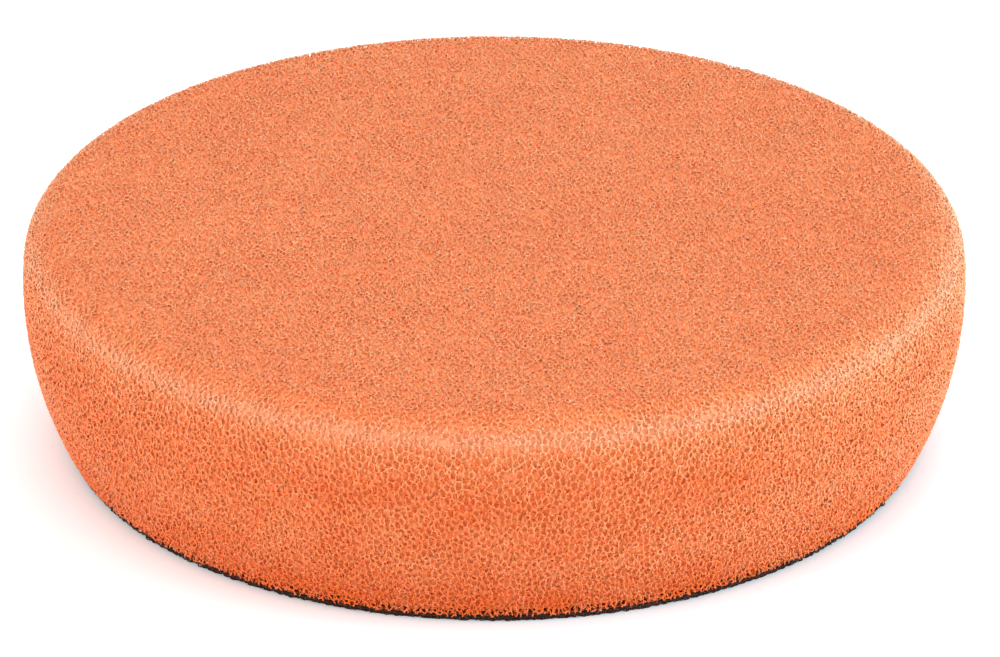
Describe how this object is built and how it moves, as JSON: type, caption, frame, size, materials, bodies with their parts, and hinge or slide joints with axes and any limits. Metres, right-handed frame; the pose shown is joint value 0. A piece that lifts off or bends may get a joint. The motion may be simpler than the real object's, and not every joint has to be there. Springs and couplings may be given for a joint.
{
  "type": "polishing pad",
  "caption": "Round open-cell foam polishing pad with a flat working face, a rounded shoulder, a side tapering in to a hook-and-loop backing underneath.",
  "frame": {"origin": "centre of the loop pile's underside, where the pad rests", "axes": "+Z out of the polishing face, along the pad's axis of rotation; X and Y are any two directions across it"},
  "size_m": [0.16, 0.16, 0.0384],
  "materials": {
    "foam": "matte",
    "film": "satin",
    "cloth": "matte",
    "pile": "matte"
  },
  "bodies": {
    "root": {"foam_body": "foam", "adhesive_film": "film", "backing_cloth": "cloth", "loop_pile": "pile"}
  },
  "joints": []
}
